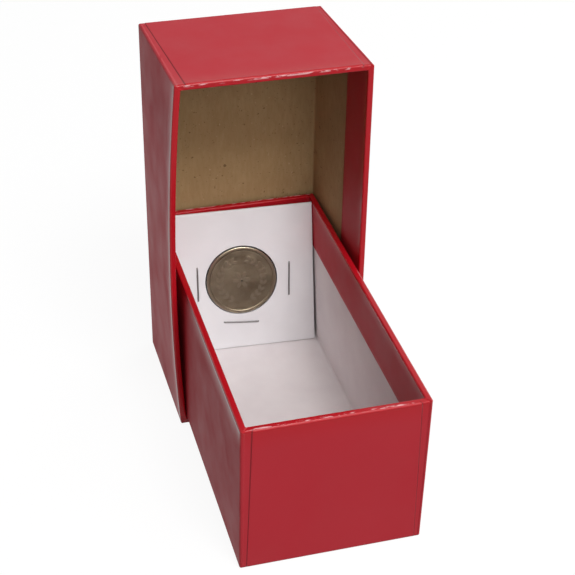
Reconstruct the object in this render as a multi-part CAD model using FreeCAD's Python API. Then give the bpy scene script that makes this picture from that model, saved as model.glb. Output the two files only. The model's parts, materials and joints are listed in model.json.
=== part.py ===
import FreeCAD, Part
import math
import os

# Coin storage box: a rigid tray and its deep lid, both of folded chipboard covered with
# paper, and one card holder with a coin. The lid stands on its lower end with its mouth
# towards -Y. The tray lies with its back end inside the lid.
# Millimetres and degrees. +Z is up, +X is to the right of someone who looks into the lid.
# The origin is the centre of the lid's lower end, on the surface that the box stands on.

# Sheet materials
BOARD = 1.65                # chipboard of both halves
PAPER = 0.15                # red covering paper
LINING = 0.10               # white lining paper of the tray
STAY = 0.10                 # paper stays round the corners
STAY_LEG = 11.0             # how far a stay reaches along each wall from its corner
FOLD_RADIUS = 0.8           # outside radius of a covered fold
FOLD_STEPS = 3              # flats that make up the rounding of a base edge
LEAST_CORNER = 0.1          # radius of an upright corner where it meets the base

# Tray, inside sizes between the turned-in paper
HOLDER_SIDE = 50.8          # side of a square coin holder
HOLDER_PLAY = 0.45          # room beside the holder, on each side
TRAY_INNER_LENGTH = 113.0
TRAY_DEPTH = 52.0           # outside, from the underside to the rim
TRAY_TURN_IN = 16.2         # depth of the red paper inside the rim

# Lid
LID_SIDE_PLAY = 0.2         # room round the tray, on each side, at the lid's back
LID_END_PLAY = 0.4          # room at each end of the tray
LID_DEPTH = 48.8            # outside, from the back panel to the mouth
LID_TURN_IN = 17.4
LID_SPLAY = 1.6             # how far the right wall leans out at the mouth
LID_BOW = 2.4               # how far the left wall's free edge bulges at half height
LID_TWIST = 1.2             # how far the left wall's top corner leans in at the mouth
BACK_PLAY = 0.05            # between the tray's back end and the lid's back panel
LIP_PLAY = 0.02             # between the tray's underside and the lid's lower lip

# Covering paper on the ends
FLAP_INSET_BASE = 2.1       # from the side edge to the end flap's edge, at the folded base
FLAP_INSET_RIM = 3.4        # the same at the rim
NOTCH = 0.9                 # from an inside corner to the turned-in paper, at its lower edge
NOTCH_START = 3.0           # how far below the rim that gap begins
NOTCH_TIP = 0.2             # its width there

# Coin holder
LEAF = 0.5                  # thickness of one leaf of the folded card
FILM = 0.06                 # thickness of the clear film
FILM_GAP = 0.1              # between the two layers of film
FILM_MARGIN = 1.4           # from the card's edge to the film's edge
WINDOW_RADIUS = 12.63
WINDOW_OFFSET_X = -0.1      # from the card's centre to the window's centre
WINDOW_OFFSET_Z = -0.3
HOLDER_LEAN = 12.7          # leans back against the tray's back wall
HOLDER_TURN = -3.0          # turned about the upright, the left edge is further back
HOLDER_TOUCH = 0.03         # between the holder's top and the wall it leans on
HOLDER_FLOOR_PLAY = 0.01    # under its lower edge
CORNER_RADIUS = 0.6         # of the card's lower corners

# Coin
COIN_RADIUS = 12.15
COIN_THICKNESS = 1.75
COIN_RIM_WIDTH = 0.9
COIN_RIM_HEIGHT = 0.14      # the rim stands this far above the field
COIN_EDGE = 0.12            # chamfer of the rim's outer edge
COIN_PLAY = 0.03            # between the coin and the film round its edge

# Staples
WIRE = 0.4                  # thickness of the flattened wire
WIRE_WIDTH = 0.55
CROWN = 12.7                # length of a staple's crown, over its legs
CLINCH = 4.6                # length of a leg's folded end
# centre of each crown, from the card's centre, and its angle on the card
STAPLES = (
    (-15.4, -0.3, 89.1),
    (16.7, -1.5, 88.0),
    (-0.7, -15.9, -5.0),
)


def vec(x, y, z):
    """A point or direction."""
    return FreeCAD.Vector(x, y, z)


# Sizes that follow from the ones above
TRAY_WALL = PAPER + BOARD + LINING + PAPER
TRAY_WIDTH = HOLDER_SIDE + 2 * HOLDER_PLAY + 2 * TRAY_WALL
TRAY_BODY = TRAY_INNER_LENGTH + 2 * TRAY_WALL
TRAY_LENGTH = TRAY_BODY + 2 * PAPER
TRAY_FLOOR = PAPER + BOARD + LINING
LID_WALL = PAPER + BOARD + PAPER
LID_WIDTH = TRAY_WIDTH + 2 * LID_SIDE_PLAY + 2 * LID_WALL
LID_BODY = TRAY_LENGTH + 2 * LID_END_PLAY + 2 * LID_WALL
LID_BACK = PAPER + BOARD
HOLDER_THICK = 2 * LEAF + 2 * FILM + FILM_GAP

# The tray is tipped: its front lower edge is on the ground, its underside on the lid's lip
TIP_ROUNDS = 20             # rounds of working out the tip, which settles after a few
MOUTH_Y = -LID_DEPTH / 2
LIP_HEIGHT = LID_WALL + PAPER + LIP_PLAY
TRAY_IN_LID = LID_DEPTH - LID_BACK - BACK_PLAY


def tray_tip():
    """Angle of the tray's underside, in degrees. The front edge is down on the ground."""
    angle = 0.0
    for _ in range(TIP_ROUNDS):
        reach = TRAY_LENGTH - TRAY_IN_LID / math.cos(angle)
        angle = math.asin(LIP_HEIGHT / reach)
    return math.degrees(angle)


TRAY_TIP = tray_tip()


# Forms of one half of the box, in its own frame: the base panel lies on z = 0, the mouth
# is at z = depth, and the length runs along y from 0. A flap on each end is outside y = 0
# and y = body.

def square(x, y, z, half):
    """A level square outline round a point."""
    corners = [(-half, -half), (half, -half), (half, half), (-half, half), (-half, -half)]
    return Part.makePolygon([vec(x + dx, y + dy, z) for dx, dy in corners])


class Half:
    """One folded and covered half: a base panel with four walls round it."""

    def __init__(self, width, body, depth, turn_in, lining, splay=0.0, bow=0.0, twist=0.0):
        self.width = width
        self.body = body
        self.depth = depth
        self.turn_in = turn_in
        self.lining = lining
        self.splay = splay
        self.bow = bow
        self.twist = twist

    def corner(self, left, near, z, inset):
        """Where two walls meet at one height. The right wall leans out, one left corner in."""
        share = z / self.depth
        if left:
            x = -self.width / 2 + inset + (0 if near else self.twist * share)
        else:
            x = self.width / 2 - inset + self.splay * share
        return x, inset if near else self.body - inset

    def outline(self, z, inset, corner):
        """Closed outline at one height, with rounded corners. The left side bulges."""
        left, near = self.corner(True, True, z, inset)
        drawn, far = self.corner(True, False, z, inset)
        right = self.corner(False, True, z, inset)[0]
        bulge = self.bow * z / self.depth
        c = corner
        stops = [(left + c, near), (right - c, near), (right, near + c), (right, far - c),
                 (right - c, far), (drawn + c, far), (drawn, far - c), (left, near + c)]
        turns = {1: (right - c, near + c, -45), 3: (right - c, far - c, 45),
                 5: (drawn + c, far - c, 135), 7: (left + c, near + c, 225)}
        edges = []
        for i, stop in enumerate(stops):
            start = vec(stop[0], stop[1], z)
            end = vec(*stops[(i + 1) % len(stops)], z)
            if i in turns:
                if c > 0:
                    x, y, angle = turns[i]
                    angle = math.radians(angle)
                    middle = vec(x + c * math.cos(angle), y + c * math.sin(angle), z)
                    edges.append(Part.Arc(start, middle, end).toShape())
            elif i == 6 and bulge > 0:
                middle = vec((left + drawn) / 2 - bulge, self.body / 2, z)
                edges.append(Part.Arc(start, middle, end).toShape())
            else:
                edges.append(Part.makeLine(start, end))
        return Part.Wire(edges)

    def block(self, inset, low, high):
        """All that lies within the walls' surface, with sharp corners, between two heights."""
        sections = [self.outline(z, inset, 0) for z in (low, high)]
        return Part.makeLoft(sections, True, True)

    def folded(self, inset, high):
        """The same with its upright corners and its base edges rounded as folds."""
        radius = FOLD_RADIUS - inset
        sections = []
        for k in range(FOLD_STEPS + 1):
            angle = math.pi / 2 * k / FOLD_STEPS
            rise = radius * (1 - math.cos(angle))
            draw = radius * (1 - math.sin(angle))
            corner = max(radius * math.sin(angle), LEAST_CORNER)
            sections.append(self.outline(inset + rise, inset + draw, corner))
        sections.append(self.outline(high, inset, radius))
        return Part.makeLoft(sections, True, True)

    def corner_zone(self, left, near):
        """Room round one upright corner, as far as a stay reaches."""
        reach = STAY_LEG + self.bow + self.splay
        x = -self.width / 2 + STAY_LEG - reach if left else self.width / 2 - STAY_LEG
        y = STAY_LEG - reach if near else self.body - STAY_LEG
        low = PAPER + FOLD_RADIUS
        return Part.makeBox(reach, reach, self.depth, vec(x, y, low))

    def stay(self, left, near):
        """One paper stay, folded round the outside of a corner of the board."""
        layer = self.folded(PAPER, self.depth - PAPER)
        layer = layer.cut(self.folded(PAPER + STAY, self.depth + BOARD))
        return layer.common(self.corner_zone(left, near))

    def board(self):
        """The folded blank, open at the mouth, with its corners drawn in under the stays."""
        solid = self.folded(PAPER, self.depth - PAPER)
        core = self.folded(PAPER + STAY, self.depth + BOARD)
        for left in (True, False):
            for near in (True, False):
                solid = solid.cut(self.corner_zone(left, near).cut(core))
        return solid.cut(self.block(PAPER + BOARD, PAPER + BOARD, self.depth + BOARD))

    def lining_sheet(self):
        """The white paper inside the board."""
        outside = PAPER + BOARD
        inside = outside + self.lining
        sheet = self.block(outside, outside, self.depth - PAPER)
        return sheet.cut(self.block(inside, inside, self.depth + BOARD))

    def turned_in(self):
        """The paper's edge inside the rim, open at the corners where it was notched."""
        outside = PAPER + BOARD + self.lining
        inside = outside + PAPER
        low = self.depth - self.turn_in
        band = self.block(outside, low, self.depth)
        band = band.cut(self.block(inside, low - BOARD, self.depth + BOARD))
        high = self.depth - NOTCH_START
        for left in (True, False):
            for near in (True, False):
                wide = square(*self.corner(left, near, low, outside), low, NOTCH)
                tip = square(*self.corner(left, near, high, outside), high, NOTCH_TIP)
                band = band.cut(Part.makeLoft([wide, tip], True, True))
        return band

    def end_flap(self, near):
        """The tapered flap that is laid over the corner tabs on one end."""
        base = self.width / 2 - FLAP_INSET_BASE
        rim = self.width / 2 - FLAP_INSET_RIM
        y = -PAPER if near else self.body
        drawn = 0 if near else self.twist
        points = [vec(-base, y, FOLD_RADIUS), vec(base, y, FOLD_RADIUS),
                  vec(rim + self.splay, y, self.depth), vec(drawn - rim, y, self.depth)]
        points.append(points[0])
        return Part.Face(Part.makePolygon(points)).extrude(vec(0, PAPER, 0))

    def wrap(self):
        """The covering paper: outside, over the rim and turned in, with the end flaps."""
        inside = PAPER + BOARD + self.lining + PAPER
        skin = self.folded(0, self.depth).cut(self.folded(PAPER, self.depth - PAPER))
        skin = skin.cut(self.block(inside, self.depth - BOARD, self.depth + BOARD))
        return skin.fuse([self.turned_in(), self.end_flap(True), self.end_flap(False)])


# Placing the two halves

def stand(solid):
    """The lid: its length upright, its mouth towards -Y, its lower end on the ground."""
    solid = solid.copy()
    solid.rotate(vec(0, 0, 0), vec(1, 0, 0), 90)
    solid.translate(vec(0, LID_DEPTH / 2, PAPER))
    return solid


def lay(solid):
    """The tray: tipped on the lid's lip, its back end up against the lid's back panel."""
    solid = solid.copy()
    solid.translate(vec(0, PAPER, 0))
    solid.rotate(vec(0, 0, 0), vec(1, 0, 0), TRAY_TIP)
    reach = TRAY_LENGTH * math.cos(math.radians(TRAY_TIP))
    solid.translate(vec(0, MOUTH_Y + TRAY_IN_LID - reach, 0))
    return solid


# Coin holder, in its own frame: x across, z up from the lower edge, the front at -y

def hairpin(radius, thick, height, half_width):
    """A sheet folded over at the top: two leaves and the bend, with its mean line's radius."""
    crest = height - radius - thick / 2

    def side(r):
        """Foot, start, top and end of the bend and the other foot, on one side of the sheet."""
        x = -half_width
        return (vec(x, -r, 0), vec(x, -r, crest), vec(x, 0, crest + r), vec(x, r, crest), vec(x, r, 0))

    out = side(radius + thick / 2)
    back = side(radius - thick / 2)
    edges = [
        Part.makeLine(out[0], out[1]),
        Part.Arc(out[1], out[2], out[3]).toShape(),
        Part.makeLine(out[3], out[4]),
        Part.makeLine(out[4], back[4]),
        Part.makeLine(back[4], back[3]),
        Part.Arc(back[3], back[2], back[1]).toShape(),
        Part.makeLine(back[1], back[0]),
        Part.makeLine(back[0], out[0]),
    ]
    return Part.Face(Part.Wire(edges)).extrude(vec(2 * half_width, 0, 0))


WINDOW_Z = HOLDER_SIDE / 2 + WINDOW_OFFSET_Z


def rod(radius, half_length, x, z):
    """A round bar through the holder, along y."""
    return Part.makeCylinder(radius, 2 * half_length, vec(x, -half_length, z), vec(0, 1, 0))


def bar(x0, x1, y0, y1):
    """A flat-sided length of wire, as wide as the wire and centred on z = 0."""
    return Part.makeBox(x1 - x0, y1 - y0, WIRE_WIDTH, vec(x0, y0, -WIRE_WIDTH / 2))


def staple(x, z, angle):
    """One closed staple: crown in front, legs through the card, ends folded in behind."""
    half = CROWN / 2
    face = HOLDER_THICK / 2
    ring = bar(-half, half, -face - WIRE, face + WIRE)
    ring = ring.makeFillet(WIRE, [e for e in ring.Edges if e.BoundBox.ZLength > WIRE_WIDTH / 2])
    ring = ring.cut(bar(-half + WIRE, half - WIRE, -face, face))
    ring = ring.cut(bar(-half + CLINCH, half - CLINCH, face - WIRE, face + 2 * WIRE))
    ring.rotate(vec(0, 0, 0), vec(0, 1, 0), -angle)
    ring.translate(vec(x, 0, HOLDER_SIDE / 2 + z))
    return ring


def staples():
    """The three staples, separate solids of one node."""
    return Part.makeCompound([staple(*place) for place in STAPLES])


def card(pins):
    """The folded card with a window in each leaf and the staples' holes."""
    radius = HOLDER_THICK / 2 - LEAF / 2
    solid = hairpin(radius, LEAF, HOLDER_SIDE, HOLDER_SIDE / 2)
    lower = [e for e in solid.Edges if e.BoundBox.ZMax < LEAF and e.BoundBox.YLength > LEAF / 2]
    solid = solid.makeFillet(CORNER_RADIUS, lower)
    solid = solid.cut(rod(WINDOW_RADIUS, HOLDER_THICK, WINDOW_OFFSET_X, WINDOW_Z))
    return solid.cut(pins)


def film(pins):
    """The clear film inside the card, stretched over both faces of the coin."""
    radius = FILM_GAP / 2 + FILM / 2
    height = HOLDER_SIDE - LEAF
    solid = hairpin(radius, FILM, height, HOLDER_SIDE / 2 - FILM_MARGIN)
    solid = solid.cut(Part.makeBox(HOLDER_SIDE, HOLDER_THICK, FILM_MARGIN,
                                   vec(-HOLDER_SIDE / 2, -HOLDER_THICK / 2, 0)))
    pocket = COIN_RADIUS + COIN_PLAY
    half = COIN_THICKNESS / 2 + COIN_PLAY
    solid = solid.cut(rod(pocket, HOLDER_THICK, WINDOW_OFFSET_X, WINDOW_Z))
    cups = rod(pocket + FILM, half + FILM, WINDOW_OFFSET_X, WINDOW_Z)
    cups = cups.cut(rod(pocket, half, WINDOW_OFFSET_X, WINDOW_Z))
    split = Part.makeBox(HOLDER_SIDE, FILM_GAP, HOLDER_SIDE, vec(-HOLDER_SIDE / 2, -FILM_GAP / 2, 0))
    return solid.fuse(cups.cut(split)).cut(pins)


def coin():
    """A plain round coin with a raised rim on both faces."""
    half = COIN_THICKNESS / 2
    field = half - COIN_RIM_HEIGHT
    inner = COIN_RADIUS - COIN_RIM_WIDTH
    profile = [
        (0, -field), (inner - COIN_RIM_HEIGHT, -field), (inner, -half),
        (COIN_RADIUS - COIN_EDGE, -half), (COIN_RADIUS, -half + COIN_EDGE),
        (COIN_RADIUS, half - COIN_EDGE), (COIN_RADIUS - COIN_EDGE, half),
        (inner, half), (inner - COIN_RIM_HEIGHT, field), (0, field), (0, -field),
    ]
    face = Part.Face(Part.makePolygon([vec(x, y, 0) for x, y in profile]))
    solid = face.revolve(vec(0, 0, 0), vec(0, 1, 0), 360)
    solid.translate(vec(WINDOW_OFFSET_X, 0, WINDOW_Z))
    return solid


def lean(solid):
    """The holder in the tray: lower edge on the floor, top against the back wall."""
    solid = solid.copy()
    angle = math.radians(HOLDER_LEAN)
    turn = math.radians(HOLDER_TURN)
    half = HOLDER_THICK / 2
    crest = (HOLDER_SIDE - half) * math.sin(angle) * math.cos(turn)
    edge = HOLDER_SIDE / 2 * math.sin(abs(turn))
    wall = PAPER + TRAY_BODY - TRAY_WALL
    y = wall - HOLDER_TOUCH - half - crest - edge
    x = (HOLDER_SIDE - half) * math.sin(angle) * math.sin(turn) / 2
    z = TRAY_FLOOR + HOLDER_FLOOR_PLAY + half * math.sin(angle)
    solid.rotate(vec(0, 0, 0), vec(1, 0, 0), -HOLDER_LEAN)
    solid.rotate(vec(0, 0, 0), vec(0, 0, 1), HOLDER_TURN)
    solid.translate(vec(x, y - PAPER, z))
    return lay(solid)


# The pieces

SIDES = (("left", True), ("right", False))


def corner_names(ends):
    """Name and place of each corner: which end of the length, and which side."""
    for end, near in ends:
        for side, left in SIDES:
            yield end + "_" + side, left, near


def half_pieces(name, half, ends, place):
    """Every piece of one half, placed."""
    stays = {}
    for corner, left, near in corner_names(ends):
        stays[name + "_stay_" + corner] = half.stay(left, near)
    pieces = {name + "_board": half.board()}
    pieces.update(stays)
    if half.lining > 0:
        pieces[name + "_lining"] = half.lining_sheet()
    pieces[name + "_wrap"] = half.wrap()
    return {node: place(solid) for node, solid in pieces.items()}


def holder_pieces():
    """The coin holder and its coin, placed in the tray."""
    pins = staples()
    pieces = {
        "holder_card": card(pins),
        "holder_film": film(pins),
        "coin": coin(),
        "holder_staples": pins,
    }
    return {node: lean(solid) for node, solid in pieces.items()}


def main():
    lid = Half(LID_WIDTH, LID_BODY, LID_DEPTH, LID_TURN_IN, 0.0, LID_SPLAY, LID_BOW, LID_TWIST)
    tray = Half(TRAY_WIDTH, TRAY_BODY, TRAY_DEPTH, TRAY_TURN_IN, LINING)
    pieces = half_pieces("lid", lid, (("bottom", True), ("top", False)), stand)
    pieces.update(half_pieces("tray", tray, (("front", True), ("rear", False)), lay))
    pieces.update(holder_pieces())
    os.makedirs("parts", exist_ok=True)
    for node, solid in pieces.items():
        solid.exportStep("parts/" + node + ".step")
        print(node, len(solid.Solids), round(solid.Volume, 2), solid.isValid())


main()
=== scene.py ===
import itertools
import json
import math
import bmesh
import bpy
import numpy as np
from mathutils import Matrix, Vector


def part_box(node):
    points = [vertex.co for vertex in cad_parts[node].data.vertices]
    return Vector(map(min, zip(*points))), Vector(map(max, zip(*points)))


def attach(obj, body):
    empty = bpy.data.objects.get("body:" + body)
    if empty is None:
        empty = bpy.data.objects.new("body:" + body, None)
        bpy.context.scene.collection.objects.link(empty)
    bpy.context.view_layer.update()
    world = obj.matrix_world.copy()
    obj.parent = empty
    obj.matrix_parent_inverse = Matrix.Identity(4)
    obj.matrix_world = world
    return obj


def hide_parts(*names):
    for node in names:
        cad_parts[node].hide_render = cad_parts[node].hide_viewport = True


# Coin storage box: a tray and its deep lid, both of folded chipboard covered with red paper,
# and a folded card holder with a coin. Sizes are millimetres until a mesh is made of them.

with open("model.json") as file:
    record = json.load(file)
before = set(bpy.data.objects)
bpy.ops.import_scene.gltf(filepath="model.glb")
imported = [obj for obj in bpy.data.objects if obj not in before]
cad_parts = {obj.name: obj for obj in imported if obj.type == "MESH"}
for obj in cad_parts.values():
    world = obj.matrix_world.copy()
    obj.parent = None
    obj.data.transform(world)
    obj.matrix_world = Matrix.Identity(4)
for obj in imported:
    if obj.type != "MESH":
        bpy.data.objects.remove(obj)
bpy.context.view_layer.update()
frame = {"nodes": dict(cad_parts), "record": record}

MM = 0.001

# Sheet materials, as the frame has them
BOARD = 1.65            # chipboard
PAPER = 0.15            # red covering paper
LINING = 0.10           # white lining paper of the tray
STAY = 0.10             # paper stays between board and covering
STAY_LEG = 11.0         # how far a stay reaches along each wall
FOLD_RADIUS = 0.8       # outside radius of a covered fold

# How the covering goes round the rim and the ends
RIM_OUTER = 0.55        # radius of the rim's outer edge
RIM_INNER = 0.45        # radius of its inner edge
TRAY_TURN_IN = 16.2     # how far the red paper reaches down inside
LID_TURN_IN = 17.4      # the same in the lid
NOTCH = 0.9             # from an inside corner to the turned-in paper, at its lower edge
NOTCH_START = 3.0       # how far below the rim that gap begins
NOTCH_TIP = 0.2         # its width there
FLAP_INSET_BASE = 2.1   # from the side edge to the end flap's edge, at the folded base
FLAP_INSET_RIM = 3.4    # the same at the rim
LID_SPLAY = 1.6         # how far the lid's right wall leans out at the mouth
LID_BOW = 2.4           # how far its left wall's free edge bulges at half height
LID_TWIST = 1.2         # how far that edge's top corner leans in

# Coin holder
HOLDER_SIDE = 50.8      # of the square card
LEAF = 0.5              # thickness of one leaf of the folded card
FILM = 0.06             # thickness of the film
FILM_GAP = 0.1          # between the two layers of film
FILM_MARGIN = 1.4       # from the card's edge to the film's edge
WINDOW_RADIUS = 12.63
WINDOW_OFFSET_X = -0.1  # from the card's centre to the window's centre
WINDOW_OFFSET_Z = -0.3
HOLDER_LEAN = 12.7      # degrees, back against the tray's rear wall
HOLDER_TURN = -3.0      # degrees, about the tray's upright
CORNER_RADIUS = 0.6     # of the card's lower corners
COIN_RADIUS = 12.15
COIN_THICKNESS = 1.75
WIRE = 0.4              # thickness of a staple's flattened wire
WIRE_WIDTH = 0.55
CROWN = 12.7            # length of a staple over its legs
CLINCH = 4.6            # length of a leg's folded end
# each staple's place across the card and above its middle, and its turn in degrees
STAPLES = (
    ("staple_left", -15.4, -0.3, 89.1),
    ("staple_right", 16.7, -1.5, 88.0),
    ("staple_lower", -0.7, -15.9, -5.0),
)


# Frames of the two halves and of the holder

def box_mm(node):
    """Lowest and highest corner of a node of the frame, in millimetres."""
    low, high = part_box(node)
    return np.array(low) / MM, np.array(high) / MM


well = next(m for m in frame["record"]["mounts"] if m["name"] == "holder_well")
MOUTH = np.array(well["pos_m"]) / MM
UP = np.array(well["axis"])
ALONG = np.array([0.0, UP[2], -UP[1]])
ACROSS = np.array([1.0, 0.0, 0.0])

TRAY_WALL = PAPER + BOARD + LINING + PAPER
LID_WALL = PAPER + BOARD + PAPER
HOLDER_THICK = 2 * LEAF + 2 * FILM + FILM_GAP


def tray_extent(node):
    """Extent of a node of the tray along the tray's own three directions."""
    points = np.array([v.co for v in frame["nodes"][node].data.vertices]) / MM
    own = np.stack([points @ ACROSS, points @ ALONG, points @ UP], 1)
    return own.max(0) - own.min(0)


def place_tray(points):
    """A point of the tray's own frame goes to the mouth's middle plus its three offsets."""
    x, y, z = points[..., 0:1], points[..., 1:2], points[..., 2:3]
    return MOUTH + x * ACROSS + (y - TRAY.length / 2) * ALONG + (z - TRAY.depth) * UP


def place_lid(points):
    """The lid stands on its end: its length is upright and its depth runs towards -Y."""
    x, y, z = points[..., 0], points[..., 1], points[..., 2]
    return np.stack([x, LID.depth / 2 - z, y + PAPER], -1)


class Half:
    """Sizes of one half in its own frame: base on z = 0, mouth at z = depth, length along y."""

    def __init__(self, body, place, extent, wall, turn_in, splay=0.0, bow=0.0, twist=0.0):
        self.body = body
        self.place = place
        self.width, self.length, self.depth = extent
        self.wall = wall
        self.turn_in = turn_in
        self.splay = splay
        self.bow = bow
        self.twist = twist


tray_size = tray_extent("tray_wrap") - np.array([0, 2 * PAPER, 0])
lid_low, lid_high = box_mm("lid_wrap")
lid_size = np.array([
    2 * (lid_high[0] - LID_SPLAY),
    lid_high[2] - lid_low[2] - 2 * PAPER,
    lid_high[1] - lid_low[1],
])
TRAY = Half("tray", place_tray, tray_size, TRAY_WALL, TRAY_TURN_IN)
LID = Half("lid", place_lid, lid_size, LID_WALL, LID_TURN_IN, LID_SPLAY, LID_BOW, LID_TWIST)


def turned(points):
    """Holder frame to tray frame: leant back about X, then turned about Z."""
    lean, turn = math.radians(HOLDER_LEAN), math.radians(HOLDER_TURN)
    x, y, z = points[..., 0], points[..., 1], points[..., 2]
    y, z = y * math.cos(lean) + z * math.sin(lean), z * math.cos(lean) - y * math.sin(lean)
    x, y = x * math.cos(turn) - y * math.sin(turn), x * math.sin(turn) + y * math.cos(turn)
    return np.stack([x, y, z], -1)


COIN_MIDDLE = np.array([WINDOW_OFFSET_X, 0.0, HOLDER_SIDE / 2 + WINDOW_OFFSET_Z])
coin_gap = np.mean(box_mm("coin"), 0) - place_tray(turned(COIN_MIDDLE))
SEAT = np.array([coin_gap @ ACROSS, coin_gap @ ALONG, coin_gap @ UP])


def place_holder(points):
    """The holder leans in the tray where its coin is the frame's coin."""
    return place_tray(turned(points) + SEAT)


# Meshes

LATTICE = 61            # values of the random table along each axis
MERGE = 0.0008          # points nearer than this become one


def unevenness(points, size, seed):
    """Smooth random heights from -1 to 1.

    Random values sit on a cubic lattice whose cells have the given size, and a point takes
    the eight values round it, blended by 3t^2 - 2t^3 along each axis.
    """
    table = np.random.default_rng(seed).uniform(-1, 1, (LATTICE,) * 3)
    cell = points / size
    low = np.floor(cell).astype(int)
    t = cell - low
    t = t * t * (3 - 2 * t)
    total = np.zeros(points.shape[:-1])
    for corner in itertools.product((0, 1), repeat=3):
        weight = np.where(np.array(corner) == 1, t, 1 - t).prod(-1)
        index = (low + corner) % LATTICE
        total += weight * table[index[..., 0], index[..., 1], index[..., 2]]
    return total


def added_up(points, sizes):
    """Several sizes of unevenness added up, each with its weight, cell size and seed."""
    return sum(weight * unevenness(points, size, seed) for weight, size, seed in sizes)


def ease(t):
    """From 0 to 1 with a soft start and end: 3t^2 - 2t^3, held outside 0 to 1."""
    t = np.clip(t, 0, 1)
    return t * t * (3 - 2 * t)


def grid_faces(rows, columns, closed):
    """Quads between the neighbours of a grid, closed round the columns or open."""
    index = np.arange(rows * columns).reshape(rows, columns)
    if closed:
        index = np.concatenate([index, index[:, :1]], 1)
    corners = index[:-1, :-1], index[:-1, 1:], index[1:, 1:], index[1:, :-1]
    return np.stack([c.ravel() for c in corners], 1)


def make(name, patches, body, material, nodes, marks=None):
    """A mesh object out of grids of points in millimetres, merged where they meet.

    Each patch is (points, closed round its columns or not). The faces are turned outwards
    after the merge. marks are attributes with one value for each point.
    """
    points = np.concatenate([p.reshape(-1, 3) for p, _ in patches]) * MM
    starts = np.cumsum([0] + [p[..., 0].size for p, _ in patches[:-1]])
    grids = [grid_faces(*p.shape[:2], closed) for p, closed in patches]
    faces = np.concatenate([f + start for f, start in zip(grids, starts)])
    mesh = bpy.data.meshes.new(name)
    mesh.from_pydata(points.tolist(), [], faces.tolist())
    for key, values in (marks or {}).items():
        attribute = mesh.attributes.new(key, "FLOAT", "POINT")
        attribute.data.foreach_set("value", values.ravel().astype(np.float32))
    shape = bmesh.new()
    shape.from_mesh(mesh)
    bmesh.ops.remove_doubles(shape, verts=shape.verts, dist=MERGE * MM)
    bmesh.ops.recalc_face_normals(shape, faces=shape.faces)
    for face in shape.faces:
        face.smooth = True
    shape.to_mesh(mesh)
    shape.free()
    mesh.materials.append(material)
    piece = bpy.data.objects.new(name, mesh)
    bpy.context.scene.collection.objects.link(piece)
    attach(piece, body)
    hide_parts(*nodes)
    return piece


def thicken(piece, thick, rounding=0.0):
    """Gives a middle surface its thickness and rounds its edges."""
    solid = piece.modifiers.new("thickness", "SOLIDIFY")
    solid.thickness = thick * MM
    solid.offset = 0
    if rounding:
        bevel = piece.modifiers.new("edges", "BEVEL")
        bevel.width = rounding * MM
        bevel.segments = 2
        bevel.limit_method = "ANGLE"
        bevel.angle_limit = math.radians(50)


# Outline of a half: four walls and the corners between them, eight stretches of columns

STEP = 0.5              # distance between columns along a wall, to hold small crinkles
CORNER_STEPS = 6        # round a quarter turn of anything small
BARE = np.array([0.0, 0.3, 0.6, 0.85])    # an end's columns between a corner and its flap
# distance past an end flap's cut edge, the share of the flap's thickness that stands there,
# and how dark the painted shade line along that edge is
FLAP_EDGE = np.array([0.0, 0.04, 0.1, 0.18])
FLAP_STAND = np.array([0.0, 0.6, 0.93, 1.0])
FLAP_SEAM_SHADE = np.array([1.0, 0.7, 0.2, 0.0])
# how strongly the rim is crinkled: most at the ends, where it goes over tabs and flap
CRINKLED_END = 1.0
CRINKLED_CORNER = 0.7
CRINKLED_SIDE = 0.3


class Columns:
    """The columns round a half's outline, from the near end's left corner to the right.

    An end wall's columns run from 0 to 1 up to its flap, to 2 over the flap and to 3 at the
    corner. A side wall's run from 0 to 1, and a corner's are angles. Every column also has
    its share of the flap's thickness, of the painted shade line along the flap's cut edge
    and of the rim's crinkles, and the angle that it faces.
    """

    def __init__(self, half):
        flap = half.width - 2 * FLAP_INSET_RIM
        edge = FLAP_EDGE / flap
        inner = np.linspace(edge[-1], 1 - edge[-1], int(flap / STEP))[1:-1]
        over = np.concatenate([edge, inner, 1 - edge[::-1]])
        self.end = np.concatenate([BARE, 1 + over, 3 - BARE[::-1]])
        self.side = np.linspace(0, 1, int(half.length / STEP))[1:-1]
        self.turn = np.linspace(0, math.pi / 2, CORNER_STEPS + 1)
        bare, rest, turn, side = (0 * part for part in (BARE, inner, self.turn, self.side))
        stand = np.concatenate([bare, FLAP_STAND, rest + 1, FLAP_STAND[::-1], bare])
        seam = np.concatenate([bare, FLAP_SEAM_SHADE, rest, FLAP_SEAM_SHADE[::-1], bare])
        self.stand = np.concatenate([stand, turn, side, turn] * 2)
        self.seam = np.concatenate([seam, turn, side, turn] * 2)
        self.crinkled = np.concatenate([0 * self.end + CRINKLED_END, turn + CRINKLED_CORNER,
                                        side + CRINKLED_SIDE, turn + CRINKLED_CORNER] * 2)
        walls = [self.end, self.turn, self.side, self.turn] * 2
        self.stops = np.cumsum([len(wall) for wall in walls])[:-1]
        quarters = [math.radians(90 * k - 90) for k in range(4)]
        self.facing = np.concatenate([
            part for k, quarter in enumerate(quarters)
            for part in (quarter + 0 * walls[2 * k], quarter + self.turn)])


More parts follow.
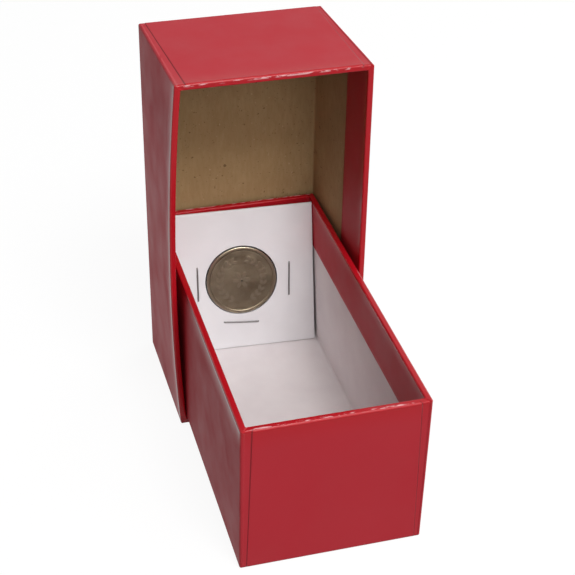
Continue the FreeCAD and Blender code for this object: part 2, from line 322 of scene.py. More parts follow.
def outline(half, columns, z, inset, corner, leaning):
    """Places on the outline for every row and column.

    With s = leaning * z / depth and f the share of the length, the right wall is at
    width / 2 - inset + splay * s, and the left one at inset - width / 2 + twist * s * f
    - 4 * bow * s * f * (1 - f). Each corner is a quarter circle. The columns of an end
    follow the slanted edges of its flap.
    """
    share = np.split(leaning * z / half.depth, columns.stops, axis=1)
    near, far = inset, half.length - inset
    c = corner

    def left(s, f):
        return inset - half.width / 2 + s * (half.twist * f - 4 * half.bow * f * (1 - f))

    def right(s):
        return half.width / 2 - inset + half.splay * s

    def end(s, f, t):
        flap = FLAP_INSET_BASE + (FLAP_INSET_RIM - FLAP_INSET_BASE) * s
        reach = (half.width / 2 - flap) * (1 - 2 * inset / half.width)
        stops = [left(s, f) + c, half.twist * f * s - reach, half.splay * s + reach, right(s) - c]
        x = stops[0]
        for k in range(3):
            x = x + (stops[k + 1] - stops[k]) * np.clip(t - k, 0, 1)
        return x

    turn, side = columns.turn, columns.side
    y_side = near + c + (far - near - 2 * c) * side
    sin, cos = c * np.sin(turn), c * np.cos(turn)
    places = [
        (end(share[0], 0, columns.end), near),
        (right(share[1]) - c + sin, near + c - cos),
        (right(share[2]), y_side),
        (right(share[3]) - c + cos, far - c + sin),
        (end(share[4], 1, columns.end[::-1]), far),
        (left(share[5], 1) + c - sin, far - c + cos),
        (left(share[6], side[::-1]), y_side[:, ::-1]),
        (left(share[7], 0) + c - cos, near + c - sin),
    ]
    x = np.concatenate([px + 0 * py for px, py in places], 1)
    y = np.concatenate([py + 0 * px for px, py in places], 1)
    return x, y


# Profiles of a half: rows of height, inset, corner radius, outward and upward share of the
# normal, leaning share, and how much the paper is creased there

LEAST_CORNER = 0.05     # corner radius where a base's flat underside ends
LEAST_HOLLOW = 0.02     # the same on its inside
CREASE_POWER = 10       # keeps the creases of a wall close to its rim


def rows_of(*parts):
    """Rows of a profile out of its seven parts, each one value or one for each row."""
    return np.stack(np.broadcast_arrays(*parts), 1)


def panel(z, inset, half, corner, up, steps):
    """A level panel from an inset to its middle line, where its two long sides meet.

    The inset grows with t^2, so rows are close beside the fold, and the share of the walls'
    leaning is 1 - t^2.
    """
    t = np.linspace(0, 1, steps) ** 2
    return rows_of(z, inset + (half.width / 2 - inset) * t, corner * (t == 0), 0, up, 1 - t, 0)


def bend(z, inset, radius, start, end, corner, steps, crease=0):
    """A rounded fold about a centre: the normal turns from start to end, in degrees.

    A point is the centre plus the radius times the normal, and a negative radius makes the
    hollow side of a fold.
    """
    angle = np.radians(np.linspace(start, end, steps))
    out, up = np.cos(angle), np.sin(angle)
    corner = np.linspace(*corner, steps)
    return rows_of(z + radius * up, inset - radius * out, corner, out, up, 1, crease)


def straight(z, inset, corner, out, up, steps, crease=(0, 0)):
    """A flat stretch of the profile, each part of which goes from a first to a last value.

    With t half of 1 - cos, rows are closer at both ends. Height, inset and corner radius
    follow t, and the crease a high power of it, so that it grows near the last row alone.
    """
    t = (1 - np.cos(np.linspace(0, math.pi, steps))) / 2
    z, inset, corner = (first + (last - first) * t for first, last in (z, inset, corner))
    crease = crease[0] + (crease[1] - crease[0]) * t ** CREASE_POWER
    return rows_of(z, inset, corner, out, up, 1, crease)


def carry(half, columns, rows, drop=0.0):
    """The profile carried round the outline: points and normals of the whole grid.

    drop lowers each point, by its row and column, below the row's own height.
    """
    height, inset, corner, out, up, leaning, _ = rows.T[..., None]
    facing = columns.facing
    z = height + 0 * facing - drop
    x, y = outline(half, columns, z, inset, corner, leaning)
    normal = np.stack([out * np.cos(facing), out * np.sin(facing), up + 0 * x], -1)
    return np.stack([x, y, z], -1), normal


# Covering paper of one half

INSIDE_CORNER = 0.3     # radius of the turned-in paper in a corner
CREASE_DEPTH = 0.08     # how deep the folded paper is crinkled at the rim
CREASE_BASE = 0.3       # share of that at the folds of the base
CREASE_WALL = 0.15      # and on the walls, away from the rim
WAVE_DEPTH = 0.05       # how far from flat the paper lies on the board
FLAP_AT_RIM = 0.35      # share of the flap's thickness that shows on top of the rim
TURN_IN_ROWS = 12
RIDGE = 0.58            # how far from its outer edge an end's rim carries painted glints, partly rubbed paper
# sizes of unevenness to add up: the weight, cell size and seed of each
CRINKLES = ((0.6, 1.7, 3), (0.4, 0.9, 5))
PAPER_WAVES = ((0.7, 19.0, 7), (0.3, 7.0, 8))
BOARD_WAVES = ((0.7, 15.0, 11), (0.3, 5.0, 12))


def turned_length(half, columns):
    """How far the turned-in paper reaches below the rim at each column.

    It is the whole turn-in, but within the notch's width of an inside corner it grows to
    that in proportion to the distance from the corner.
    """
    points, _ = carry(half, columns, rows_of([half.depth], half.wall, INSIDE_CORNER, -1, 0, 1, 0))
    distance = []
    for k, wall in enumerate(np.split(points[0], columns.stops)):
        to_ends = [np.linalg.norm(wall - wall[i], axis=1) for i in (0, -1)]
        distance.append(np.minimum(*to_ends) * (k % 2 == 0))
    share = np.clip((np.concatenate(distance) - NOTCH_TIP) / (NOTCH - NOTCH_TIP), 0, 1)
    return NOTCH_START + (half.turn_in - NOTCH_START) * share


def covering(name, half, nodes, material):
    """The red sheet: base, folds, walls, over the rim and down to its turned-in edge.

    A second set of rows lies one paper's thickness further in and closes the sheet. On the
    ends the paper stands out by its own thickness where the end flap lies on the tabs. It
    is crinkled by two sizes of random heights at the rim, and waves a little elsewhere.
    The crease falls with a fourth power down the turned-in part, and the ridge mark, which
    places painted glints, from 1 at the outer edge of an end's rim to 0 at RIDGE from it. The
    seam shade mark places a painted shade line along each end flap's cut edge.
    """
    columns = Columns(half)
    depth, wall, r = half.depth, half.wall, FOLD_RADIUS
    outer, inner, within, fold = depth - RIM_OUTER, depth - RIM_INNER, wall - RIM_INNER, r - PAPER
    tight = (INSIDE_CORNER, INSIDE_CORNER)
    shown = np.concatenate([
        panel(0, r, half, LEAST_CORNER, -1, steps=9)[::-1],
        bend(r, r, r, -90, 0, (LEAST_CORNER, r), steps=7, crease=CREASE_BASE)[1:],
        straight((r, outer), (0, 0), (r, r), 1, 0, steps=34, crease=(CREASE_WALL, 1))[1:],
        bend(outer, RIM_OUTER, RIM_OUTER, 0, 90, (r, INSIDE_CORNER), steps=9, crease=1)[1:],
        straight((depth, depth), (RIM_OUTER, within), tight, 0, 1, steps=4, crease=(1, 1))[1:],
        bend(inner, within, RIM_INNER, 90, 180, tight, steps=6, crease=1)[1:],
    ])
    down = np.linspace(0, 1, TURN_IN_ROWS + 1)[1:]
    face = rows_of(inner, wall, INSIDE_CORNER, -1, 0, 1, (1 - down) ** 4)
    back = rows_of(inner, wall - PAPER, INSIDE_CORNER, -1, 0, 1, [0, 0])
    under = np.concatenate([
        bend(inner, within, RIM_INNER - PAPER, 180, 90, tight, steps=4, crease=1),
        bend(outer, RIM_OUTER, RIM_OUTER - PAPER, 90, 0, (INSIDE_CORNER, fold), steps=4, crease=1),
        straight((outer, r), (PAPER, PAPER), (fold, fold), 1, 0, steps=8)[1:],
        bend(r, r, fold, 0, -90, (fold, LEAST_CORNER), steps=5)[1:],
        panel(PAPER, r, half, LEAST_CORNER, -1, steps=4)[1:],
    ])
    drop = turned_length(half, columns) - RIM_INNER
    grids = [
        carry(half, columns, shown),
        carry(half, columns, face, down[:, None] * drop),
        carry(half, columns, back, np.array([[1], [0]]) * drop),
        carry(half, columns, under),
    ]
    points, normal = (np.concatenate(part) for part in zip(*grids))
    crease = np.concatenate([rows[:, -1:] for rows in (shown, face, back, under)])
    seen = np.arange(len(points))[:, None] < len(shown) + len(face)

    outward = np.sign(points[..., 1] - half.length / 2)
    on_end = (normal[..., 1] * outward > 0) & seen
    at_rim = np.clip((depth - points[..., 2]) / RIM_OUTER, FLAP_AT_RIM, 1)
    height = np.clip(points[..., 2] / r, 0, 1) ** 2 * at_rim
    points[..., 1] += outward * columns.stand * PAPER * height * on_end

    crinkle, waves = added_up(points, CRINKLES), added_up(points, PAPER_WAVES)
    dent = crease * columns.crinkled * CREASE_DEPTH * (1 + crinkle) / 2
    dent = dent + WAVE_DEPTH * (1 + waves) / 2
    points = points - normal * (dent * ease(points[..., 2] / r))[..., None]
    from_end = half.length / 2 - abs(points[..., 1] - half.length / 2)
    off_edge = np.hypot(depth - points[..., 2], from_end - RIM_OUTER)
    marks = {
        "fold": crease + 0 * points[..., 0],
        "ridge": ease(1 - off_edge / RIDGE) * (columns.crinkled == CRINKLED_END) * seen,
        "seam": columns.seam * on_end * ease(points[..., 2] / r),
    }
    make(name, [(half.place(points), True)], half.body, material, nodes, marks)


# Board, lining and stays of one half

RIM_PLAY = 0.12         # between the board's rounded rim and the covering over it
BOARD_HOLLOW = 0.5      # radius of the board's inside folds
BOARD_WAVINESS = 0.03   # half of what its inside waves by
LINING_PLAY = 0.02      # between the tray's board and its lining
LINING_DOWN = 1.0       # from the tray's rim to the lining's edge, under the turned-in paper
LINING_HOLLOW = 0.6
LINING_WAVINESS = 0.02


def cup(name, half, nodes, material, outer, inner, top, hollow, waviness):
    """A folded sheet open at the mouth, between two insets, with a rounded rim.

    hollow is the radius of its inside folds. Its inside waves by the waviness times 1 plus
    two sizes of random heights.
    """
    columns = Columns(half)
    r, edge = FOLD_RADIUS, min((inner - outer) / 2, RIM_INNER)
    fold, tight = r - outer, (hollow, hollow)
    rows = np.concatenate([
        panel(outer, r, half, LEAST_CORNER, -1, steps=4)[::-1],
        bend(r, r, fold, -90, 0, (LEAST_CORNER, fold), steps=4)[1:],
        straight((r, top - edge), (outer, outer), (fold, fold), 1, 0, steps=12)[1:],
        bend(top - edge, outer + edge, edge, 0, 90, (fold, hollow), steps=5)[1:],
        straight((top, top), (outer + edge, inner - edge), tight, 0, 1, steps=2)[1:],
        bend(top - edge, inner - edge, edge, 90, 180, tight, steps=5)[1:],
        straight((top - edge, inner + hollow), (inner, inner), tight, -1, 0, steps=40)[1:],
        bend(inner + hollow, inner + hollow, -hollow, 180, 90, (hollow, LEAST_HOLLOW), steps=6)[1:],
        panel(inner, inner + hollow, half, LEAST_HOLLOW, 1, steps=30)[1:],
    ])
    points, normal = carry(half, columns, rows)
    height, _, _, out, up, leaning, _ = rows.T[..., None]
    inward = (out < 0) | (up > 0) & (height < r + hollow)
    waves = added_up(points, BOARD_WAVES)
    points = points - normal * (waviness * (1 + waves) * leaning * inward)[..., None]
    make(name, [(half.place(points), True)], half.body, material, nodes)


def stay(half, corner, stretch, material):
    """A paper stay: the outline's columns within its leg of one corner, as a thin sheet."""
    columns = Columns(half)
    inset = PAPER + STAY / 2
    r = FOLD_RADIUS - inset
    z = PAPER + FOLD_RADIUS, half.depth - 2 * RIM_OUTER
    points, _ = carry(half, columns, straight(z, (inset, inset), (r, r), 1, 0, steps=9))
    half_way = points.shape[1] // 2
    middle = columns.stops[stretch - 1] + CORNER_STEPS // 2
    points = np.roll(points, half_way - middle, 1)
    reach = np.linalg.norm(points - points[:, half_way:half_way + 1], axis=-1)
    points = points[:, (reach < STAY_LEG).all(0)]
    piece = make(half.body + "_corner_stay_" + corner, [(half.place(points), False)], half.body,
                 material, [half.body + "_stay_" + corner])
    thicken(piece, STAY)


# Coin holder, in its own frame: a sheet with a round window, folded over at the top

EDGE_STEPS = 60         # along each straight stretch of a leaf's edge
BEND_POINTS = 9         # across the bend between two leaves
CARD_RINGS = WINDOW_RADIUS + np.array([0, 0.2, 0.6, 1.4, 3.0])
CARD_EDGE = 0.09        # how much the card's cut edges are rounded
PARTING = 0.1           # how far each leaf stands off at its lower corners
PARTING_TOP = 12        # the height below which it does
PARTING_START = 6       # from here off the middle it grows
PARTING_REACH = 16      # over this much
FILM_CORNER = 0.3       # radius of the film's lower corners
FILM_PLAY = 0.03        # between film and coin
FILM_SLACK = ((0.02, 5.0, 21),)     # its unevenness over the coin: height, cell size, seed
POLE = 0.02             # radius of the first ring where a round surface begins
# rings over the coin, others close together where the film comes down, one in the card
FILM_RINGS = np.concatenate([
    np.linspace(POLE, 11.6, 16), np.linspace(11.8, WINDOW_RADIUS, 10), [13.2]])


def sheet_edge(half_width, height, rounded):
    """The edge of a rectangle with rounded lower corners, walked round from its lower left.

    Both upper corners are points of it. Returns the points and the numbers of the top ones.
    """
    def stretch(a, b):
        t = np.linspace(0, 1, EDGE_STEPS, endpoint=False)[:, None]
        return np.array(a) + (np.array(b) - np.array(a)) * t

    c, w = rounded, half_width
    turn = np.linspace(0, math.pi / 2, CORNER_STEPS, endpoint=False)[:, None]
    right = np.array([w - c, c]) + c * np.concatenate([np.sin(turn), -np.cos(turn)], 1)
    left = np.array([c - w, c]) + c * np.concatenate([-np.cos(turn), -np.sin(turn)], 1)
    edge = np.concatenate([
        stretch((c - w, 0), (w - c, 0)), right, stretch((w, c), (w, height)),
        stretch((w, height), (-w, height)), stretch((-w, height), (-w, c)), left,
    ])
    top = np.flatnonzero(np.isclose(edge[:, 1], height))
    return edge, np.append(top, top[-1] + 1)


def folded_sheet(half_width, height, radius, thick, rounded, radii, rings_beyond, offset):
    """Patches of a folded sheet's middle surface: two leaves and the bend between them.

    A leaf is a fan of rays from the window's centre: rings of the given radii, and then
    more at equal shares of the way from the last ring to the sheet's edge. offset(x, z)
    moves a leaf's points away from the other leaf. The bend is a half circle.
    """
    crest = height - radius - thick / 2
    centre = COIN_MIDDLE[[0, 2]]
    edge, top = sheet_edge(half_width, crest, rounded)
    ray = (edge - centre) / np.linalg.norm(edge - centre, axis=1)[:, None]
    rings = centre + ray * radii[:, None, None]
    shares = np.linspace(0, 1, rings_beyond + 1)[1:, None, None]
    flat = np.concatenate([rings, rings[-1] + (edge - rings[-1]) * shares])
    x, z = flat[..., 0], flat[..., 1]
    away = radius + offset(x, z)
    leaves = [(np.stack([x, side * away, z], -1), True) for side in (-1, 1)]
    angle = np.linspace(0, math.pi, BEND_POINTS)[:, None]
    across = edge[top, 0]
    fold = np.stack([across + 0 * angle, -radius * np.cos(angle) + 0 * across,
                     crest + radius * np.sin(angle) + 0 * across], -1)
    return leaves + [(fold, False)]


def placed(patches):
    """Patches of the holder's own frame, put in place."""
    return [(place_holder(points), closed) for points, closed in patches]


def make_card(material):
    """The folded card. Its leaves part a little towards the free lower corners.

    They do by the product of an ease downwards and one away from the middle.
    """
    def offset(x, z):
        return PARTING * ease(1 - z / PARTING_TOP) * ease((abs(x) - PARTING_START) / PARTING_REACH)

    patches = folded_sheet(HOLDER_SIDE / 2, HOLDER_SIDE, HOLDER_THICK / 2 - LEAF / 2, LEAF,
                           CORNER_RADIUS, CARD_RINGS, rings_beyond=9, offset=offset)
    piece = make("coin_holder_card", placed(patches), "holder", material, ["holder_card"])
    thicken(piece, LEAF, CARD_EDGE)


def make_film(material):
    """The clear film: flat inside the card, lifted over both faces of the coin.

    It comes down with an ease between the coin's edge and the window's, and is uneven
    where it is lifted.
    """
    flat = (FILM_GAP + FILM) / 2
    lift = COIN_THICKNESS / 2 + FILM_PLAY + FILM / 2 - flat

    def offset(x, z):
        distance = np.hypot(x - COIN_MIDDLE[0], z - COIN_MIDDLE[2])
        slack = added_up(np.stack([x, z, 0 * x], -1), FILM_SLACK)
        over = ease((WINDOW_RADIUS - distance) / (WINDOW_RADIUS - COIN_RADIUS))
        return lift * over + np.clip(slack, 0, None) * over

    patches = folded_sheet(HOLDER_SIDE / 2 - FILM_MARGIN, HOLDER_SIDE - LEAF, flat, FILM,
                           FILM_CORNER, FILM_RINGS, rings_beyond=3, offset=offset)
    piece = make("coin_holder_film", placed(patches), "holder", material, ["holder_film"])
    thicken(piece, FILM)


# Coin: a made-up design of a laurel wreath round a rosette, inside a ring of beads

COIN_SPOKES = 360
COIN_RINGS = np.concatenate([
    [POLE], np.linspace(0.2, 10.2, 70), np.linspace(10.3, 10.9, 7),
    [11.02, 11.1, 11.2, 11.26, 11.4, 11.7, 11.95, 12.05, 12.12, COIN_RADIUS]])
FIELD = 0.14            # depth of the field below the rim
DISH = 0.015            # how much more in the middle
DISH_RADIUS = 10.0
RIM_START = 11.0        # where the field starts to rise
RIM_RISE = 0.28         # over how much it rises to the rim
RIM_BRIGHT = 0.3        # over how much its relief mark grows
RIM_ROUND = 11.95       # where the rim starts to round off
RIM_REACH = 0.2         # and the way that it would take
RIM_DROP = 0.12         # to fall by this much
RELIEF = 0.07           # height of the wreath above the field, worn low
GROOVE = 0.4            # depth of the groove in a leaf, as a share of its height
GROOVE_WIDTH = 0.16
WREATH_RADIUS = 7.6
LAUREL_PLACES = np.radians(np.linspace(-68, 62, 9))     # along a stem, from the coin's middle
LAUREL_TILT = 0.55      # radians from the stem to a leaf
LAUREL_REACH = 1.15     # from the stem to a leaf's middle
LAUREL_SIZE = (1.3, 0.62)  # half of a leaf's length and width
PETAL_PLACES = np.radians(np.arange(0, 360, 60))
PETAL_REACH = 1.9
PETAL_SIZE = (1.5, 0.8)
HEART = 0.8             # radius of the rosette's middle
STEM_WIDTH = 0.2
STEM_HEIGHT = 0.5
STEM_SPAN = 0.9         # half of the stems' height, as a share of the wreath's radius
STEM_DOWN = 0.05        # how far down that is shifted
BEAD_RING = 10.55
BEAD_WIDTH = 0.18
BEAD_HEIGHT = 0.6
BEADS = 72


def dome(x, z, root, angle, reach, size):
    """Upper half of an ellipsoid, from 0 to 1, with a groove along its long axis.

    Its middle lies the reach away from its root. With u along it and v across, it is the
    square root of 1 - (u / length)^2 - (v / width)^2, less a share on a bell curve of v.
    """
    cx, cz = root[0] + reach * math.cos(angle), root[1] + reach * math.sin(angle)
    u = (x - cx) * math.cos(angle) + (z - cz) * math.sin(angle)
    v = (z - cz) * math.cos(angle) - (x - cx) * math.sin(angle)
    body = np.sqrt(np.clip(1 - (u / size[0]) ** 2 - (v / size[1]) ** 2, 0, 1))
    return body * (1 - GROOVE * np.exp(-(v / GROOVE_WIDTH) ** 2))


def design(r, theta):
    """Height of the design from 0 to 1, the highest of its leaves, petals, stems and beads.

    Leaves stand in pairs at both sides of two stems, arcs of the wreath's radius. Stems and
    beads are bell curves of the distance from their ring, the beads times a cosine round
    the coin.
    """
    x, z = r * np.cos(theta), r * np.sin(theta)
    height = np.sqrt(np.clip(1 - (r / HEART) ** 2, 0, 1)) + 0 * x
    for side, along in itertools.product((-1, 1), LAUREL_PLACES):
        root = side * WREATH_RADIUS * math.cos(along), WREATH_RADIUS * math.sin(along)
        stem = math.atan2(math.cos(along), -side * math.sin(along))
        for turn in (-LAUREL_TILT, LAUREL_TILT):
            height = np.maximum(height, dome(x, z, root, stem + turn, LAUREL_REACH, LAUREL_SIZE))
    for petal in PETAL_PLACES:
        height = np.maximum(height, dome(x, z, (0, 0), petal, PETAL_REACH, PETAL_SIZE))
    within = abs(np.sin(theta) + STEM_DOWN) < STEM_SPAN
    stems = np.exp(-((r - WREATH_RADIUS) / STEM_WIDTH) ** 2) * within * STEM_HEIGHT
    beads = np.exp(-((r - BEAD_RING) / BEAD_WIDTH) ** 2) * np.clip(np.cos(BEADS * theta), 0, 1)
    return np.maximum(np.maximum(height, stems), beads * BEAD_HEIGHT)


def make_coin(material):
    """The coin: rings of a polar grid over both faces and round the edge.

    A face is the field plus the design, dished by 1 less the square of the distance from
    the middle, and eases up to the rim, which rounds off with a square.
    """
    r = COIN_RINGS[:, None]
    theta = np.linspace(0, 2 * math.pi, COIN_SPOKES, endpoint=False)
    worn = design(r, theta)
    rim = ease((r - RIM_START) / RIM_RISE) * FIELD
    rim = rim - RIM_DROP * np.clip((r - RIM_ROUND) / RIM_REACH, 0, 1) ** 2
    dish = DISH * np.clip(1 - (r / DISH_RADIUS) ** 2, 0, 1)
    y = COIN_THICKNESS / 2 - FIELD + rim + RELIEF * worn - dish
    x, z = COIN_MIDDLE[0] + r * np.cos(theta), COIN_MIDDLE[2] + r * np.sin(theta)
    points = np.concatenate([np.stack([x, -y, z], -1), np.stack([x, y, z], -1)[::-1]])
    high = worn + ease((r - RIM_START) / RIM_BRIGHT)
    marks = {"relief": np.concatenate([high, high[::-1]])}
    make("coin_disc", placed([(points, True)]), "holder", material, ["coin"], marks)


BEND = 0.45             # radius of a staple's bends, at the middle of the wire
BENDS = ((1, 1, 90), (1, -1, 0), (-1, -1, -90), (-1, 1, 180))   # side, face, first direction
WIRE_SIDES = 16
WIRE_POWER = 0.6        # below 1, its section is squarer than an ellipse
WIRE_TIP = 0.02         # share of the section at a wire's very end


def make_staple(name, x, z, angle, material):
    """One closed staple: a flattened wire's section carried along its bent path.

    The section is a rounded rectangle, cos and sin of the angle raised to a small power.
    """
    def flattened(wave):
        return np.sign(wave) * abs(wave) ** WIRE_POWER

    half, face = CROWN / 2 - WIRE / 2, HOLDER_THICK / 2 + WIRE / 2
    turn = np.linspace(0, math.pi / 2, CORNER_STEPS + 1)
    path = [[[half - CLINCH, face]]]
    for right, behind, start in BENDS:
        a = math.radians(start) - turn
        centre = np.array([right * (half - BEND), behind * (face - BEND)])
        path.append(centre + BEND * np.stack([np.cos(a), np.sin(a)], 1))
    path = np.concatenate(path + [[[CLINCH - half, face]]])
    step = np.gradient(path, axis=0)
    side = np.stack([-step[:, 1], step[:, 0]], 1) / np.linalg.norm(step, axis=1)[:, None]
    around = np.linspace(0, 2 * math.pi, WIRE_SIDES, endpoint=False)
    flat = flattened(np.cos(around)) * WIRE / 2
    wide = flattened(np.sin(around)) * WIRE_WIDTH / 2
    rows = np.concatenate([[0], np.arange(len(path)), [len(path) - 1]])
    size = np.concatenate([[WIRE_TIP], np.ones(len(path)), [WIRE_TIP]])[:, None]
    section = path[rows, None] + side[rows, None] * (flat * size)[..., None]
    px, pz = section[..., 0], wide * size
    a = math.radians(angle)
    points = np.stack([x + px * math.cos(a) - pz * math.sin(a), section[..., 1],
                       HOLDER_SIDE / 2 + z + px * math.sin(a) + pz * math.cos(a)], -1)
    make(name, placed([(points, True)]), "holder", material, ["holder_staples"])


# Materials

def hex_colour(code):
    """A colour written as six hex digits in sRGB, turned to linear light."""
    values = [int(code[i:i + 2], 16) / 255 for i in (0, 2, 4)]
    return [v / 12.92 if v <= 0.04045 else ((v + 0.055) / 1.055) ** 2.4 for v in values] + [1.0]


def feed(tree, node, inputs):
    """Sets or links inputs of a node, each to a number, a colour, a socket or another node.

    A node stands for the first of its outputs that its settings leave on.
    """
    for socket, value in inputs.items():
        if isinstance(value, bpy.types.Node):
            value = next(o for o in value.outputs if o.enabled)
        if isinstance(value, bpy.types.NodeSocket):
            tree.links.new(value, node.inputs[socket])
        else:
            node.inputs[socket].default_value = value


def put(tree, kind, inputs=None, **settings):
    """Adds a node with its settings, and with its inputs as feed takes them."""
    made = tree.nodes.new("ShaderNode" + kind)
    for key, value in settings.items():
        setattr(made, key, value)
    feed(tree, made, inputs or {})
    return made


def start(name, code, roughness, metallic=0.0):
    """A new material of one colour: its node tree, its shader and its object coordinates."""
    material = bpy.data.materials.new(name)
    material.use_nodes = True
    tree = material.node_tree
    shader = tree.nodes["Principled BSDF"]
    feed(tree, shader, {"Base Color": hex_colour(code), "Roughness": roughness, "Metallic": metallic})
    place = put(tree, "TexCoord").outputs["Object"]
    return material, tree, shader, place


def per_mm(size, stretch=(1, 1, 1)):
    """Mapping scale that makes one patch of a pattern that many millimetres long."""
    return [1 / (size * MM * s) for s in stretch]


def red_paper():
    """Art paper printed solid red, varnished on press, glued down wet and folded.

    The print is even, the varnish satin with faint clouds from the glue under it. At folds
    the paper is stretched shiny, and where an end's rim goes over tabs and flap it is
    crinkled, with broken pale lines along the sharpest ridges: painted glints, partly rubbed
    paper. A painted shade line runs along each end flap's cut edge.
    """
    material, tree, shader, place = start("varnished_red_art_paper", "ac1f2c", 0.6)
    fold, ridge, seam = (put(tree, "Attribute", attribute_name=mark).outputs["Fac"]
                         for mark in ("fold", "ridge", "seam"))
    at_fold = put(tree, "MapRange", {"Value": fold, "From Min": 0.35, "From Max": 1.0})

    wide = put(tree, "Mapping", {"Vector": place, "Scale": per_mm(22)})
    cloud = put(tree, "TexNoise", {"Vector": wide, "Scale": 1.0, "Detail": 3.0})
    red = put(tree, "Mix", {0: cloud, 6: hex_colour("b22832"), 7: hex_colour("bb2d38")}, data_type="RGBA")
    deep = put(tree, "Mix", {0: at_fold, 6: red, 7: hex_colour("b8121f")}, data_type="RGBA")
    # painted shade: a dark line along each end flap's cut edge, where the step in the paper would cast its
    # shadow
    line = put(tree, "Math", {0: seam, 1: 0.75}, operation="MULTIPLY")
    seam_shaded = put(tree, "Mix", {0: line, 6: deep, 7: hex_colour("4c0a10")}, data_type="RGBA")
    small = put(tree, "Mapping", {"Vector": place, "Scale": per_mm(1.4)})
    crinkle = put(tree, "TexNoise", {"Vector": small, "Scale": 1.0, "Detail": 4.0, "Roughness": 0.6})
    # painted glints: pale broken dashes along the rims' sharpest ridges, where the lamps would catch the
    # crinkles, partly rubbed paper
    lengthwise = put(tree, "Mapping", {"Vector": place, "Scale": per_mm(0.8, (4, 1, 1))})
    broken = put(tree, "TexNoise", {"Vector": lengthwise, "Scale": 1.0, "Detail": 4.0, "Roughness": 0.6})
    broken_glint = put(tree, "MapRange", {"Value": broken, "From Min": 0.51, "From Max": 0.57})
    sharp = put(tree, "MapRange", {"Value": ridge, "From Min": 0.4, "From Max": 0.8})
    worn = put(tree, "Math", {0: broken_glint, 1: sharp}, operation="MULTIPLY")
    share = put(tree, "Math", {0: worn, 1: 0.85}, operation="MULTIPLY")
    colour = put(tree, "Mix", {0: share, 6: seam_shaded, 7: hex_colour("f4c3c6")}, data_type="RGBA")

    patch = put(tree, "Mapping", {"Vector": place, "Scale": per_mm(11)})
    glue = put(tree, "TexNoise", {"Vector": patch, "Scale": 1.0, "Detail": 3.0})
    satin = put(tree, "MapRange", {"Value": glue, "From Min": 0.3, "From Max": 0.7,
                                   "To Min": 0.52, "To Max": 0.64})
    gloss = put(tree, "Mix", {0: at_fold, 2: satin, 3: 0.25})

    fine = put(tree, "Mapping", {"Vector": place, "Scale": per_mm(0.7)})
    tooth = put(tree, "TexNoise", {"Vector": fine, "Scale": 1.0, "Detail": 2.0})
    wrinkle = put(tree, "Math", {0: crinkle, 1: ridge}, operation="MULTIPLY")
    height = put(tree, "Math", {0: wrinkle, 1: 10.0, 2: tooth}, operation="MULTIPLY_ADD")
    bump = put(tree, "Bump", {"Strength": 1.0, "Distance": 0.006 * MM, "Height": height})
    feed(tree, shader, {"Base Color": colour, "Roughness": gloss, "Normal": bump,
                        "Specular IOR Level": 0.27})
    return material


# specks of the chipboard: size in mm, noise at which they start and are full, and colour
SPECKS = (
    (1.5, 0.72, 0.78, "5a4229"),
    (0.8, 0.70, 0.78, "6b5032"),
    (1.2, 0.73, 0.78, "c4aa84"),
)


def chipboard():
    """Solid board of recycled fibre, calendered and uncoated.

    Dull grey-brown, streaked along the machine direction, with dark and pale specks of
    unbleached fibre and print.
    """
    material, tree, shader, place = start("grey_brown_chipboard", "9a7b58", 0.88)
    along = put(tree, "Mapping", {"Vector": place, "Scale": per_mm(1.0, (1, 1, 4))})
    fibre = put(tree, "TexNoise", {"Vector": along, "Scale": 1.0, "Detail": 4.0, "Roughness": 0.6})
    wide = put(tree, "Mapping", {"Vector": place, "Scale": per_mm(16)})
    cloud = put(tree, "TexNoise", {"Vector": wide, "Scale": 1.0, "Detail": 3.0})
    streak = put(tree, "MapRange", {"Value": fibre, "From Min": 0.3, "From Max": 0.7})
    body = put(tree, "Mix", {0: streak, 6: hex_colour("a4885e"), 7: hex_colour("b0956b")}, data_type="RGBA")
    shade = put(tree, "MapRange", {"Value": cloud, "From Min": 0.35, "From Max": 0.65, "To Max": 0.35})
    colour = put(tree, "Mix", {0: shade, 6: body, 7: hex_colour("97794f")}, data_type="RGBA")
    for size, least, most, code in SPECKS:
        at = put(tree, "Mapping", {"Vector": place, "Scale": per_mm(size), "Location": (size, 0.3, 0.7)})
        grain = put(tree, "TexNoise", {"Vector": at, "Scale": 1.0, "Detail": 1.0})
        speck = put(tree, "MapRange", {"Value": grain, "From Min": least, "From Max": most, "To Max": 0.7})
        colour = put(tree, "Mix", {0: speck, 6: colour, 7: hex_colour(code)}, data_type="RGBA")
    bump = put(tree, "Bump", {"Strength": 0.4, "Distance": 0.03 * MM, "Height": fibre})
    feed(tree, shader, {"Base Color": colour, "Normal": bump})
    return material


def pale_paper(name, low, high, roughness, tooth_mm):
    """Bleached paper or card: nearly even, faintly clouded, with a fine tooth."""
    material, tree, shader, place = start(name, high, roughness)
    wide = put(tree, "Mapping", {"Vector": place, "Scale": per_mm(12)})
    cloud = put(tree, "TexNoise", {"Vector": wide, "Scale": 1.0, "Detail": 4.0})
    tone = put(tree, "MapRange", {"Value": cloud, "From Min": 0.3, "From Max": 0.7})
    colour = put(tree, "Mix", {0: tone, 6: hex_colour(low), 7: hex_colour(high)}, data_type="RGBA")
    fine = put(tree, "Mapping", {"Vector": place, "Scale": per_mm(tooth_mm)})
    tooth = put(tree, "TexNoise", {"Vector": fine, "Scale": 1.0, "Detail": 3.0})
    bump = put(tree, "Bump", {"Strength": 0.5, "Distance": 0.02 * MM, "Height": tooth})
    feed(tree, shader, {"Base Color": colour, "Normal": bump})
    return material


